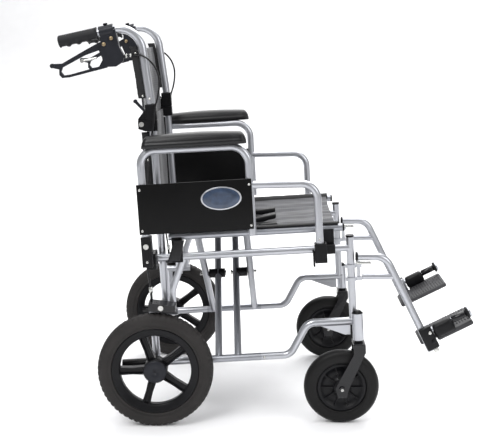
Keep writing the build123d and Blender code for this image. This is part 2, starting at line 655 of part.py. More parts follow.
def hanger_latch():
    """The release lever under the hanger's top tube."""
    y = -SIDE_Y
    return upright(block((548, y - 6, 428), (584, y + 6, 434), 2))


# ---- seat belt, laid on the seat
def belt_half():
    top = SEAT_W + TUBE_R + GAP + SEAT_THICK + 0.5
    strap = block((252, -SEAT_Y + 12, top), (290, -40, top + 2))
    buckle = block((250, -40, top), (292, -8, top + 12), 3)
    return [strap, buckle]


def main():
    both_sides("side_frame", lambda: place_all(side_frame()))
    both_sides("frame_fittings", lambda: place_all(fittings()))
    both_sides("frame_bolts", lambda: place_all(fasteners()))
    both_sides("rear_tyre", rear_tyre)
    both_sides("rear_wheel", rear_wheel)
    both_sides("caster_tyre", caster_tyre)
    both_sides("caster_wheel", caster_wheel)
    both_sides("caster_fork", lambda: place(caster_fork()))
    both_sides("push_cane", lambda: place(cane()))
    both_sides("cane_hinge", lambda: place(cane_hinge()))
    both_sides("hinge_release", lambda: place(hinge_release()))
    both_sides("grip", lambda: place(grip()))
    both_sides("brake_housing", lambda: place(brake_housing()))
    both_sides("brake_lever", lambda: place(brake_lever()))
    both_sides("parking_tab", lambda: place(parking_tab()))
    both_sides("wheel_brake", lambda: place(wheel_brake()))
    both_sides("cable_upper", lambda: place(cable_upper()))
    both_sides("cable_lower", lambda: place(cable_lower()))
    both_sides("arm_frame", lambda: place_all(arm_frame()))
    both_sides("arm_pad", lambda: place(arm_pad()))
    both_sides("side_panel", lambda: place(side_panel()))
    both_sides("arm_lock", lambda: place(arm_lock()))
    both_sides("hanger", lambda: Compound(children=[s for p in hanger() for s in p.solids()]))
    both_sides("footplate", footplate)
    both_sides("hanger_latch", hanger_latch)
    both_sides("seat_half", lambda: place(seat_half()))
    both_sides("belt_half", lambda: place_all(belt_half()))
    save("brace_a", place_all(brace_a()))
    save("brace_b", place_all(brace_b()))
    save("cross_bolts", place_all(cross_bolts()))
    save("cross_saddles", place_all(cross_saddles()))
    save("back_lower", place(back_lower()))
    save("back_upper", place(back_upper()))


def place_all(parts):
    """Places a list of frame shapes as one group of solids."""
    return Compound(children=[solid for part in parts for solid in place(part).solids()])


main()
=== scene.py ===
import bpy
import bmesh
import math
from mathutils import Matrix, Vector


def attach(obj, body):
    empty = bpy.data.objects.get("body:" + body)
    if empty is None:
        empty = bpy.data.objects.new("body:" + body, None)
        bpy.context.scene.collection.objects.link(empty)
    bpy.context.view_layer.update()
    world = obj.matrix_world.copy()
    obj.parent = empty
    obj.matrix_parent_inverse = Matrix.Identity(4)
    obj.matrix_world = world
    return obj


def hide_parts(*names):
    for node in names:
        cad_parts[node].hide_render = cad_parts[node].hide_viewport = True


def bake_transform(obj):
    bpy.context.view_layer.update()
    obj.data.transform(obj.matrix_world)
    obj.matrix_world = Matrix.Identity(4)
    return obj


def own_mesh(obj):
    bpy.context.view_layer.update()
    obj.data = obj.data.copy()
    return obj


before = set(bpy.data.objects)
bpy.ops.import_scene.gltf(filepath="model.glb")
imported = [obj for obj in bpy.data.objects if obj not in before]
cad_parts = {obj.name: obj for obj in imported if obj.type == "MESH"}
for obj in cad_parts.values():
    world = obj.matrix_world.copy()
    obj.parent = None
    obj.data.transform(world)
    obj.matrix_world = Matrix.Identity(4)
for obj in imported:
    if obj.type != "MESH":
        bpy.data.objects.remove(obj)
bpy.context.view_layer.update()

# ---- driving sizes, in millimetres, as in the CAD model
REAR_AXLE_X = -287.4
RAKE = math.radians(3.4)
SIDE_Y, POST_Y, ARM_Y, WHEEL_Y, STEM_Y = 235.0, 214.6, 292.0, 281.0, 258.0
PANEL_Y, PAD_Y, SEAT_Y = 305.0, 309.0, 216.0
POST_S, HINGE_W, HINGE_S = 41.8, 796.0, 15.0
LOW_W, RAIL_W = 156.0, 441.5
BRACE_CENTRE_W = 331.5
SEAT_W = BRACE_CENTRE_W + SEAT_Y * (BRACE_CENTRE_W - LOW_W) / SIDE_Y
CANE_LOW = (41.8, 847.0)
CANE_CORNER = (25.7, 1052.7)
HANDLE_SLOPE = math.radians(8.9)
ARM_TOP_W, ARM_FRONT_S, ARM_REAR_S = 735.0, 286.5, 12.1
REAR_R, CASTER_R, CASTER_X = 152.5, 100.0, 492.0
PLATE_SLOPE = math.radians(27.0)
PLATE_PIVOT = (716.0, 244.0)
AXLE_FACE, AXLE_END = 34, 2.5  # caster axle ends, out from the stem
CAMERA_PLACE = (269.45, -2739.5, 1053.8)
CAMERA_YAW, CAMERA_PITCH = -0.0084, 0.1619
CAMERA_LENS, CAMERA_SHIFT = 70.22, -0.08
LAMPS = (("key", (-1.6, -2.6, 3.4), 1.8, 80), ("fill", (2.8, -2.2, 2.2), 2.0, 40),
         ("top", (0.2, 0.4, 3.8), 3.4, 120), ("back", (0.5, 3.0, 3.6), 4.0, 120),
         ("wall", (0.3, 2.6, 3.2), 3.0, 90))


def at(s, y, w):
    """World place, in metres, of a raked frame place in millimetres."""
    x = REAR_AXLE_X + s * math.cos(RAKE) - w * math.sin(RAKE)
    z = s * math.sin(RAKE) + w * math.cos(RAKE)
    return Vector((x, y, z)) / 1000


def level(x, y, z):
    """World place, in metres, of a level place in millimetres, with x from the rear axle."""
    return Vector((REAR_AXLE_X + x, y, z)) / 1000


def frame_point(x, z):
    """The raked frame place of a level place."""
    return (x * math.cos(RAKE) + z * math.sin(RAKE), z * math.cos(RAKE) - x * math.sin(RAKE))


# ---- materials
def material(name, colour, rough, metal=0.0, grain=900.0, bump=0.08, vary=0.12, sheen=0.0, coat=0.0,
             large=14.0, specular=0.5):
    """A procedural finish: colour drift, roughness drift and a fine surface grain."""
    mat = bpy.data.materials.new(name)
    mat.use_nodes = True
    tree = mat.node_tree
    shader = tree.nodes["Principled BSDF"]
    shader.inputs["Metallic"].default_value = metal
    shader.inputs["Sheen Weight"].default_value = sheen
    shader.inputs["Coat Weight"].default_value = coat
    shader.inputs["Specular IOR Level"].default_value = specular
    place = tree.nodes.new("ShaderNodeTexCoord")
    drift = tree.nodes.new("ShaderNodeTexNoise")
    drift.inputs["Scale"].default_value = large
    drift.inputs["Detail"].default_value = 6.0
    tree.links.new(place.outputs["Object"], drift.inputs["Vector"])
    ramp = tree.nodes.new("ShaderNodeValToRGB")
    dark = [max(0.0, c * (1 - vary)) for c in colour]
    light = [min(1.0, c * (1 + vary)) for c in colour]
    ramp.color_ramp.elements[0].position = 0.3
    ramp.color_ramp.elements[1].position = 0.7
    ramp.color_ramp.elements[0].color = (*dark, 1)
    ramp.color_ramp.elements[1].color = (*light, 1)
    tree.links.new(drift.outputs["Fac"], ramp.inputs["Fac"])
    tree.links.new(ramp.outputs["Color"], shader.inputs["Base Color"])
    polish = tree.nodes.new("ShaderNodeMapRange")
    polish.inputs["To Min"].default_value = max(0.02, rough * 0.85)
    polish.inputs["To Max"].default_value = min(1.0, rough * 1.15)
    tree.links.new(drift.outputs["Fac"], polish.inputs["Value"])
    tree.links.new(polish.outputs["Result"], shader.inputs["Roughness"])
    fine = tree.nodes.new("ShaderNodeTexNoise")
    fine.inputs["Scale"].default_value = grain
    fine.inputs["Detail"].default_value = 3.0
    tree.links.new(place.outputs["Object"], fine.inputs["Vector"])
    relief = tree.nodes.new("ShaderNodeBump")
    relief.inputs["Strength"].default_value = bump
    relief.inputs["Distance"].default_value = 0.0006
    tree.links.new(fine.outputs["Fac"], relief.inputs["Height"])
    tree.links.new(relief.outputs["Normal"], shader.inputs["Normal"])
    return mat


def woven(name, colour, thread=0.0011, rough=0.75, sheen=0.25, strength=0.35):
    """A plain weave: two crossed sets of threads in colour and relief."""
    mat = material(name, colour, rough, sheen=sheen, grain=2500, bump=0.1, vary=0.18, large=9)
    tree = mat.node_tree
    shader = tree.nodes["Principled BSDF"]
    place = next(n for n in tree.nodes if n.type == "TEX_COORD")
    relief = next(n for n in tree.nodes if n.type == "BUMP")
    ramp = next(n for n in tree.nodes if n.type == "VALTORGB")
    waves = []
    for direction in ("X", "Y", "Z"):
        wave = tree.nodes.new("ShaderNodeTexWave")
        wave.wave_type = "BANDS"
        wave.bands_direction = direction
        wave.inputs["Scale"].default_value = 1.0 / (thread * 6.283 * 3.0)
        wave.inputs["Distortion"].default_value = 0.4
        tree.links.new(place.outputs["Object"], wave.inputs["Vector"])
        waves.append(wave)
    first = tree.nodes.new("ShaderNodeMath")
    first.operation = "MULTIPLY"
    tree.links.new(waves[0].outputs["Fac"], first.inputs[0])
    tree.links.new(waves[1].outputs["Fac"], first.inputs[1])
    second = tree.nodes.new("ShaderNodeMath")
    second.operation = "ADD"
    tree.links.new(first.outputs[0], second.inputs[0])
    tree.links.new(waves[2].outputs["Fac"], second.inputs[1])
    tree.links.new(second.outputs[0], relief.inputs["Height"])
    relief.inputs["Strength"].default_value = strength
    relief.inputs["Distance"].default_value = 0.0004
    mix = tree.nodes.new("ShaderNodeMix")
    mix.data_type = "RGBA"
    mix.blend_type = "MULTIPLY"
    mix.inputs["Factor"].default_value = 0.35
    tree.links.new(ramp.outputs["Color"], mix.inputs["A"])
    tree.links.new(second.outputs[0], mix.inputs["B"])
    tree.links.new(mix.outputs["Result"], shader.inputs["Base Color"])
    return mat


SILVER = material("satin_silver", (0.46, 0.47, 0.50), 0.30, 0.85, 1500, 0.05, 0.05, coat=0.15,
                  large=6)
# painted shade: the cross braces get a darker copy of the satin silver that stands in for the shadow and dark
# reflection of the seat above them
SHADED_SILVER = material("brace_silver", (0.34, 0.35, 0.38), 0.32, 0.85, 1500, 0.05, 0.06, coat=0.15,
                 large=6)
ZINC = material("zinc_plate", (0.55, 0.55, 0.53), 0.26, 0.95, 900, 0.12, 0.12, large=60)
BRASS = material("rivet_brass", (0.30, 0.23, 0.14), 0.34, 0.9, 900, 0.1, 0.15, large=80)
BLACK = material("black_plastic", (0.0045, 0.0045, 0.0055), 0.38, grain=1300, bump=0.22, vary=0.25,
                 large=30,
                 specular=0.2)
NYLON = material("wheel_nylon", (0.0050, 0.0050, 0.0062), 0.34, grain=1100, bump=0.10, vary=0.25,
                 large=25,
                 specular=0.2)
POWDER = material("powder_coat", (0.0040, 0.0040, 0.0055), 0.26, grain=1400, bump=0.15, vary=0.2,
                  coat=0.15,
                  specular=0.35)
LEVER = material("cast_lever", (0.012, 0.013, 0.018), 0.42, 0.2, 1500, 0.22, 0.15, large=40,
                 specular=0.32)
TYRE = material("tyre_rubber", (0.0230, 0.0210, 0.0205), 0.66, grain=700, bump=0.22, vary=0.18,
                large=22,
                specular=0.25)
CASTER_RUBBER = material("caster_rubber", (0.0060, 0.0058, 0.0060), 0.44, grain=700, bump=0.12,
                         vary=0.2,
                         specular=0.2)
GRIP = material("grip_rubber", (0.0085, 0.0088, 0.0105), 0.55, grain=1200, bump=0.25, vary=0.15,
                large=35,
                specular=0.28)
PAD = material("pad_urethane", (0.0040, 0.0040, 0.0048), 0.34, grain=1100, bump=0.30, vary=0.2,
               large=18,
               specular=0.36)
PANEL = material("skirt_panel", (0.0028, 0.0028, 0.0030), 0.36, grain=1600, bump=0.30, vary=0.2,
                 large=12,
                 specular=0.14)
BADGE = material("plain_badge", (0.022, 0.040, 0.080), 0.22, grain=400, bump=0.04, vary=0.35,
                 coat=0.5, large=55)
RIM_BADGE = material("badge_rim", (0.50, 0.51, 0.54), 0.30, 0.8, 800, 0.05, 0.06)
PLATE = material("footplate_grey", (0.040, 0.040, 0.043), 0.50, grain=900, bump=0.28, vary=0.14,
                 large=20,
                 specular=0.3)
CABLE = material("cable_sheath", (0.0040, 0.0040, 0.0050), 0.34, grain=1500, bump=0.08, vary=0.2,
                 specular=0.35)
FABRIC = woven("seat_nylon", (0.058, 0.059, 0.066))
EDGE_FABRIC = woven("edge_nylon", (0.0050, 0.0050, 0.0062), thread=0.0009, sheen=0.08)
WEBBING = woven("belt_webbing", (0.0050, 0.0052, 0.0075), thread=0.0016, rough=0.6, sheen=0.08,
                strength=0.6)

CAD_FINISH = {
    "side_frame": SILVER, "frame_fittings": BLACK, "frame_bolts": ZINC, "caster_fork": POWDER,
    "push_cane": SILVER, "cane_hinge": BLACK, "hinge_release": LEVER, "brake_housing": LEVER,
    "brake_lever": LEVER, "parking_tab": ZINC, "wheel_brake": POWDER, "arm_frame": SILVER,
    "arm_lock": BLACK, "hanger": SILVER, "hanger_latch": ZINC, "brace_a": SHADED_SILVER, "brace_b": SHADED_SILVER,
    "cross_bolts": ZINC, "cross_saddles": BLACK, "footplate": PLATE, "rear_tyre": TYRE,
    "rear_wheel": NYLON, "caster_tyre": CASTER_RUBBER, "caster_wheel": NYLON, "grip": GRIP,
    "arm_pad": PAD, "side_panel": PANEL, "cable_upper": CABLE, "cable_lower": CABLE,
    "seat_half": FABRIC, "belt_half": WEBBING, "back_lower": FABRIC, "back_upper": FABRIC,
}
for node_name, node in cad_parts.items():
    plain = node_name.replace("right_", "").replace("left_", "")
    node.data.materials.clear()
    node.data.materials.append(CAD_FINISH[plain])

SIDES = (("right", -1), ("left", 1))


# ---- mesh helpers
def mesh_piece(name, verts, faces, mat, smooth=True):
    """A mesh object from world points and faces, with its normals made consistent."""
    mesh = bpy.data.meshes.new(name)
    mesh.from_pydata([tuple(v) for v in verts], [], faces)
    work = bmesh.new()
    work.from_mesh(mesh)
    bmesh.ops.recalc_face_normals(work, faces=work.faces)
    work.to_mesh(mesh)
    work.free()
    for polygon in mesh.polygons:
        polygon.use_smooth = smooth
    mesh.materials.append(mat)
    piece = bpy.data.objects.new(name, mesh)
    bpy.context.scene.collection.objects.link(piece)
    return piece


def loft(name, rings, mat, closed=False, caps=True, smooth=True):
    """Skins a row of rings of points."""
    count = len(rings[0])
    verts = [p for ring in rings for p in ring]
    faces = []
    rows = len(rings)
    last = rows if closed else rows - 1
    for i in range(last):
        for k in range(count):
            a, b = i * count, ((i + 1) % rows) * count
            faces.append((a + k, a + (k + 1) % count, b + (k + 1) % count, b + k))
    if caps and not closed:
        faces.append(tuple(range(count)))
        faces.append(tuple(range((rows - 1) * count, rows * count)))
    return mesh_piece(name, verts, faces, mat, smooth)


def join(name, pieces):
    """Joins pieces into one object under the first one's name."""
    bpy.ops.object.select_all(action="DESELECT")
    for piece in pieces:
        piece.select_set(True)
    bpy.context.view_layer.objects.active = pieces[0]
    bpy.ops.object.join()
    pieces[0].name = name
    return pieces[0]


def wheel_profile(name, profile, centre, steps, mat, tread=(), depth=0.0, every=3):
    """Turns a closed (radius, y) profile about the Y axis through a centre; tread rows get notches."""
    rings = []
    for step in range(steps):
        turn = 2 * math.pi * step / steps
        ring = []
        for k, (radius, y) in enumerate(profile):
            cut = depth if k in tread and step % every == 0 else 0.0
            r = (radius - cut) / 1000
            ring.append(centre + Vector((r * math.cos(turn), y / 1000, r * math.sin(turn))))
        rings.append(ring)
    return loft(name, rings, mat, closed=True)


def bar(name, start, end, radius, mat, sides=20, bevel=0.0):
    """A round bar between two world points, with softened ends."""
    axis = (end - start)
    rot = axis.to_track_quat("Z", "Y").to_matrix()
    length = axis.length
    stops = [(0, radius - bevel), (bevel, radius), (length - bevel, radius),
             (length, radius - bevel)]
    rings = []
    for along, r in stops:
        ring = []
        for k in range(sides):
            turn = 2 * math.pi * k / sides
            ring.append(start + rot @ Vector((r * math.cos(turn), r * math.sin(turn), along)))
        rings.append(ring)
    return loft(name, rings, mat)


def soft_box(name, corner_fn, size, mat, bevel, segments=3):
    """A rounded box of a size (l, w, h), placed by a function of local millimetres."""
    work = bmesh.new()
    bmesh.ops.create_cube(work, size=1.0)
    for vert in work.verts:
        vert.co = Vector((vert.co.x * size[0], vert.co.y * size[1], vert.co.z * size[2]))
    bmesh.ops.bevel(work, geom=list(work.edges), offset=bevel, segments=segments, profile=0.5,
                    affect="EDGES")
    for vert in work.verts:
        vert.co = corner_fn(*vert.co)
    mesh = bpy.data.meshes.new(name)
    bmesh.ops.recalc_face_normals(work, faces=work.faces)
    work.to_mesh(mesh)
    work.free()
    for polygon in mesh.polygons:
        polygon.use_smooth = True
    mesh.materials.append(mat)
    piece = bpy.data.objects.new(name, mesh)
    bpy.context.scene.collection.objects.link(piece)
    return piece


def grid_sheet(name, across, along, place_fn, thickness, mat):
    """A closed thin sheet over a grid; place_fn gives a world point from two shares 0 to 1."""
    rows = []
    for i in range(across + 1):
        rows.append([place_fn(i / across, j / along) for j in range(along + 1)])
    normals = []
    for i in range(across + 1):
        line = []
        for j in range(along + 1):
            du = rows[min(i + 1, across)][j] - rows[max(i - 1, 0)][j]
            dv = rows[i][min(j + 1, along)] - rows[i][max(j - 1, 0)]
            line.append(du.cross(dv).normalized())
        normals.append(line)
    verts = []
    for sign in (0.5, -0.5):
        for i in range(across + 1):
            for j in range(along + 1):
                verts.append(rows[i][j] + normals[i][j] * sign * thickness / 1000)
    layer = (across + 1) * (along + 1)
    faces = []

    def index(i, j):
        return i * (along + 1) + j

    for i in range(across):
        for j in range(along):
            quad = (index(i, j), index(i + 1, j), index(i + 1, j + 1), index(i, j + 1))
            faces.append(quad)
            faces.append(tuple(k + layer for k in reversed(quad)))
    rim = [index(i, 0) for i in range(across + 1)] + [index(across, j) for j in range(1, along + 1)]
    rim += [index(i, along) for i in range(across - 1, -1, -1)] + [index(0,
                                                              j) for j in range(along - 1, 0, -1)]
    for k, a in enumerate(rim):
        b = rim[(k + 1) % len(rim)]
        faces.append((a, b, b + layer, a + layer))
    return mesh_piece(name, verts, faces, mat)


def ripple(u, v, seed):
    """Repeatable soft folds, about -1 to 1."""
    return (math.sin(7.3 * u + 3.1 * v + seed) * 0.5 + math.sin(13.7 * v - 4.2 * u + 2 * seed) * 0.3
            + math.sin(21.0 * u + 9.0 * v + 3 * seed) * 0.2)


# ---- rear wheels and casters
TYRE_PROFILE = [(115, -15), (117, -17.8), (120, -19.2), (121.2, -18.1), (123, -19.6),
                (124.4, -18.4), (126, -19.9),
                (132, -20), (139, -19.7), (144, -18.6), (146.0, -17.4), (149.2, -15.4), (151.0,
                                                              -12.5),
                (152.3, -8), (152.5, -3), (150.6, -1.2), (150.6, 1.2), (152.5, 3), (152.3,
                                                              8), (151.2, 12.5),
                (149.5, 15.2), (146.5, 17.4), (144, 18.6), (132, 20), (120, 19.4), (115, 15)]
TREAD_ROWS = (10, 11, 12, 13, 18, 19, 20, 21)
RIM_PROFILE = [(114.9, -16), (114.9, 16), (112, 16.5), (104, 12), (97, 11), (94, 9), (94, -9),
               (97, -11.5),
               (103, -12.5), (110, -16.5), (113, -17.4)]
HUB_PROFILE = [(6.1, -20), (10, -20), (30, -20), (31.5, -18), (31.5, 18), (29, 21), (6.1, 21)]
CAP_PROFILE = [(0.3, -24.6), (20, -24.6), (25, -24.2), (28.2, -23.1), (30, -21), (30, -19.6),
               (0.3, -19.6)]
SPOKE_TURNS = (38, 110, 182, 254, 326)


def spoke(name, centre, turn):
    """A moulded spoke: a thin web with a raised rib along each side."""
    parts = []
    direction = Vector((math.cos(turn), 0, math.sin(turn)))
    side = Vector((-math.sin(turn), 0, math.cos(turn)))
    out = Vector((0, 1, 0))
    for across, wide, thick in ((0, 13.0, 7.0), (-7.2, 4.6, 19.0), (7.2, 4.6, 19.0)):
        stops = ((27, 1.25), (60, 1.0), (97, 1.18))
        rings = []
        for radius, flare in stops:
            mid = centre + direction * radius / 1000 + side * across * flare / 1000
            ring = []
            for a, b in ((-1, -0.8), (-0.7, -1), (0.7, -1), (1, -0.8), (1, 0.8), (0.7, 1),
                         (-0.7, 1), (-1, 0.8)):
                ring.append(mid + side * a * wide * 0.5 / 1000 + out * b * thick * 0.5 / 1000)
            rings.append(ring)
        parts.append(loft(name, rings, NYLON, smooth=False))
    return parts


def rear_wheels():
    for side, sign in SIDES:
        centre = level(0, sign * WHEEL_Y, REAR_R)
        tyre = wheel_profile(side + "_tyre_shell", TYRE_PROFILE, centre, 240, TYRE, TREAD_ROWS,
                             3.0, 4)
        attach(tyre, side + "_rear_wheel")
        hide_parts(side + "_rear_tyre")
        flip = [(r, y * -sign) for r, y in RIM_PROFILE]
        parts = [wheel_profile(side + "_rim", flip, centre, 96, NYLON)]
        parts.append(wheel_profile(side + "_hub", [(r, y * -sign) for r, y in HUB_PROFILE], centre,
                                   48, NYLON))
        for turn in SPOKE_TURNS:
            parts += spoke(side + "_spoke", centre, math.radians(turn))
        wheel = join(side + "_wheel_moulding", parts)
        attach(wheel, side + "_rear_wheel")
        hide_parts(side + "_rear_wheel")
        cap_profile = [(r, y * -sign) for r, y in CAP_PROFILE]
        cap = wheel_profile(side + "_hub_cap", cap_profile, centre, 48, LEVER)
        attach(cap, side + "_rear_wheel")


CASTER_TYRE = [(66, -15), (68, -17), (74, -17.8), (85, -18), (91, -17), (95, -14), (98.5, -9),
               (100, -3),
               (100, 3), (98.5, 9), (95, 14), (91, 17), (85, 18), (74, 17.8), (68, 17), (66, 15)]
CASTER_DISC = [(65.9, -14), (65.9, 14), (62, 15), (57, 15), (54, 8), (24, 6), (21, 20), (19, 22),
               (5.2, 22),
               (5.2, -22), (19, -22), (21, -20), (24, -6), (54, -8), (57, -15), (62, -15)]


def casters():
    for side, sign in SIDES:
        centre = level(CASTER_X, sign * STEM_Y, CASTER_R)
        tyre = wheel_profile(side + "_caster_tread", CASTER_TYRE, centre, 96, CASTER_RUBBER)
        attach(tyre, side + "_caster")
        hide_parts(side + "_caster_tyre")
        parts = [wheel_profile(side + "_caster_disc", CASTER_DISC, centre, 72, NYLON)]
        for k in range(10):
            turn = 2 * math.pi * k / 10
            direction = Vector((math.cos(turn), 0, math.sin(turn)))
            across = Vector((-math.sin(turn), 0, math.cos(turn)))
            for face in (-1, 1):
                rings = []
                for radius in (20, 58):
                    mid = centre + direction * radius / 1000
                    rings.append([mid + across * a * 0.0016 + Vector((0, face * b / 1000, 0))
                                  for a, b in ((-1, 5), (1, 5), (0.7, 12.5), (-0.7, 12.5))])
                parts.append(loft(side + "_caster_rib", rings, NYLON, smooth=False))
        wheel = join(side + "_caster_moulding", parts)
        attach(wheel, side + "_caster")
        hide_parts(side + "_caster_wheel")


# ---- arm pads, panels and grips
def arm_pads():
    for side, sign in SIDES:
        rings = []
        start, finish, stations = 21.0, ARM_FRONT_S - 2, 64
        for i in range(stations + 1):
            share = 0.5 - 0.5 * math.cos(math.pi * i / stations)
            s = start + (finish - start) * share
            end_fall = min(1.0, math.sqrt(max(0.0, 1 - (max(0.0, 0.060 - share) / 0.060) ** 2)),
                           math.sqrt(max(0.0, 1 - (max(0.0, share - 0.935) / 0.065) ** 2)))
            end_fall = max(end_fall, 0.20)
            half = (23 + 4.0 * math.sin(math.pi * min(1.0,
                                                      share * 1.15))) * (0.62 + 0.38 * end_fall)
            crown = (24 + 9 * math.sin(math.pi * min(1.0, 0.12 + share * 0.75))) * end_fall
            ring = []
            base = ARM_TOP_W + 9.5
            outline = ((-0.80, -2), (-1.0, 0.5), (-1.03, 7), (-1.0, 10.5), (-0.95, 11.5),
                       (-0.93, 14),
                       (-0.86, 0.70), (-0.66, 0.90), (-0.34, 0.985), (0, 1.0), (0.34,
                                                              0.985), (0.66, 0.90),
                       (0.86, 0.70), (0.93, 14), (0.95, 11.5), (1.0, 10.5), (1.03, 7), (1.0,
                                                              0.5), (0.80, -2))
            for a, height in outline:
                tall = height * crown if 0 < abs(height) <= 1.0 and height not in (0.5,) else height
                if height > 1.0:
                    tall = min(height, crown * 0.62) * (0.5 + 0.5 * end_fall)
                ring.append(at(s, sign * (PAD_Y - 1 + a * half), base + tall))
            rings.append(ring)
        pad = loft(side + "_arm_cushion", rings, PAD)
        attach(pad, side + "_arm")
        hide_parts(side + "_arm_pad")


def side_panels():
    for side, sign in SIDES:
        low_s, high_s, low_w, high_w = -2.0, 291.0, 520.0, 650.0
        mid_s, mid_w = (low_s + high_s) / 2, (low_w + high_w) / 2

        def put(s, y, w):
            return at(mid_s + s, sign * (PANEL_Y - 1) + y, mid_w + w)

        skin = soft_box(side + "_skirt_panel", put, (high_s - low_s, 3.4, high_w - low_w), PANEL,
                        1.2, 3)
        hooks = []
        for s in (ARM_REAR_S, ARM_FRONT_S):
            hooks.append(bar(side + "_panel_boss", at(s, sign * (ARM_Y + 9.9), 640),
                             at(s, sign * (ARM_Y + 9.9), 530),
                             0.0035, PANEL, 12, 0.001))
        panel = join(side + "_skirt_panel", [skin] + hooks)
        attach(panel, side + "_arm")
        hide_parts(side + "_side_panel")
        screws = []
        for s, w in ((ARM_FRONT_S - 2, 636), (ARM_FRONT_S - 2, 530), (ARM_REAR_S - 6, 636),
                     (ARM_REAR_S - 6, 530)):
            out = sign * (PANEL_Y + 0.4)
            screws.append(bar(side + "_panel_screw", at(s, out, w), at(s, out + sign * 1.6, w),
                              0.0034, ZINC, 20,
                              0.0007))
        screws = join(side + "_panel_screws", screws)
        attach(screws, side + "_arm")
        for half_s, half_w, lift, mat, label in ((52, 30, 1.5, RIM_BADGE, "_badge_rim"),
                                                 (48, 27, 2.2, BADGE, "_badge")):
            rings = []
            for grow, out in ((1.0, 0.3), (1.0, lift * 0.7), (0.97, lift), (0.6, lift + 0.15),
                              (0.02, lift + 0.2)):
                ring = []
                for k in range(64):
                    turn = 2 * math.pi * k / 64
                    ring.append(at(212 + grow * half_s * math.cos(turn),
                                   sign * (PANEL_Y + 0.4 + out),
                                   604 + grow * half_w * math.sin(turn)))
                rings.append(ring)
            badge = loft(side + label, rings, mat)
            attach(badge, side + "_arm")


def handle_point(along, above=0.0):
    s, w = CANE_CORNER
    return (s - along * math.cos(HANDLE_SLOPE) - above * math.sin(HANDLE_SLOPE),
            w - along * math.sin(HANDLE_SLOPE) + above * math.cos(HANDLE_SLOPE))


def grips():
    for side, sign in SIDES:
        rings = []
        stations = 76
        for i in range(stations + 1):
            share = i / stations
            along = 108 + 105 * share
            closing = math.sqrt(max(0.02, 1 - max(0.0, (share - 0.955) / 0.045) ** 2))
            flange = 1.0 + 0.10 * math.exp(-((share - 0.02) / 0.02) ** 2)
            wave = math.cos(2 * math.pi * (share * 4.0))
            ring = []
            for k in range(36):
                turn = 2 * math.pi * k / 36
                below = max(0.0, -math.sin(turn)) ** 2
                radius = (14.2 + 0.35 * math.cos(turn * 12)) * flange
                radius = (radius + below * (1.4 + 3.0 * max(wave, -0.25))) * closing
                s, w = handle_point(along, radius * math.sin(turn))
                ring.append(at(s, sign * POST_Y + radius * math.cos(turn), w))
            rings.append(ring)
        grip = loft(side + "_grip_sleeve", rings, GRIP)
        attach(grip, side + "_cane")
        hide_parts(side + "_grip")


def hand_brake_trim():
    for side, sign in SIDES:
        for face in (-1, 1):
            for x, z in ((-106.5, 1016.0), (-125.5, 1000.7)):
                s, w = frame_point(x, z)
                y = sign * POST_Y + face * 11.0
                rivet = bar(side + "_rivet", at(s, y, w), at(s, y + face * 3.4, w), 0.0052, BRASS,
                            24, 0.0014)
                rivet.name = f"{side}_rivet_{'in' if face * sign < 0 else 'out'}_{int(-x)}"
                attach(rivet, side + "_cane")
        s, w = handle_point(84, 15)
        knob = bar(side + "_clamp_screw", at(s, sign * POST_Y, w),
                   at(s - 0.7, sign * POST_Y, w + 5), 0.006, BLACK,
                   20, 0.0015)
        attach(knob, side + "_cane")
        for x, z, radius in ((-72, 970.3, 6.2), (-61, 972.1, 5.6)):
            s, w = frame_point(x, z)
            nut = bar(f"{side}_adjuster_nut_{int(-x)}", at(s, sign * POST_Y, w),
                      at(s + 5, sign * POST_Y, w + 0.5),
                      radius / 1000, ZINC, 6, 0.0006)
            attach(nut, side + "_cane")


# ---- seat, back and belt
def seat():
    def put(u, v):
        s = 66 + (508 - 66) * u
        edge = abs(2 * v - 1)
        y = -SEAT_Y + 2 * SEAT_Y * v
        droop = (18 * (1 - edge ** 6) + 5 * (1 - edge ** 2)) * (0.85 + 0.15 * math.sin(math.pi * u))
        crease = math.sin(44 * v + 1.2 * math.sin(3.1 * u + 5 * v)) + 0.6 * math.sin(71 * v - 2.6 * u)
        folds = (1.7 * crease + 1.2 * ripple(3 * u, 4 * v, 0.6)) * (1 - edge ** 5)
        if edge > 0.955:
            turn = (edge - 0.955) / 0.045
            return at(s, math.copysign(SEAT_Y * (0.955 + 0.045 * turn), y),
                      SEAT_W + 12 - 0.6 * turn)
        return at(s, y, SEAT_W + 12.2 - droop + folds)

    sheet = grid_sheet("seat_sling", 60, 168, put, 2.6, FABRIC)
    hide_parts("right_seat_half", "left_seat_half")
    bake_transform(sheet)
    for side, sign in SIDES:
        def edge(u, v):
            s = 64 + (512 - 64) * u
            turn = -1.5 + 2.15 * v
            lift = 15.6 * math.cos(turn) + 0.5 * ripple(u * 9, v, 1)
            return at(s, sign * (SEAT_Y + 14.8 * math.sin(turn)), SEAT_W + lift)

        strip = grid_sheet(side + "_seat_edge", 60, 10, edge, 1.6, EDGE_FABRIC)
        body = "seat_right" if side == "right" else "seat_left"
        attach(strip, body)
        tip = bar(side + "_rail_plug", at(521, sign * SEAT_Y, SEAT_W),
                  at(527, sign * SEAT_Y, SEAT_W), 0.0108, BLACK, 28,
                  0.002)
        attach(tip, "brace_b" if side == "right" else "brace_a")


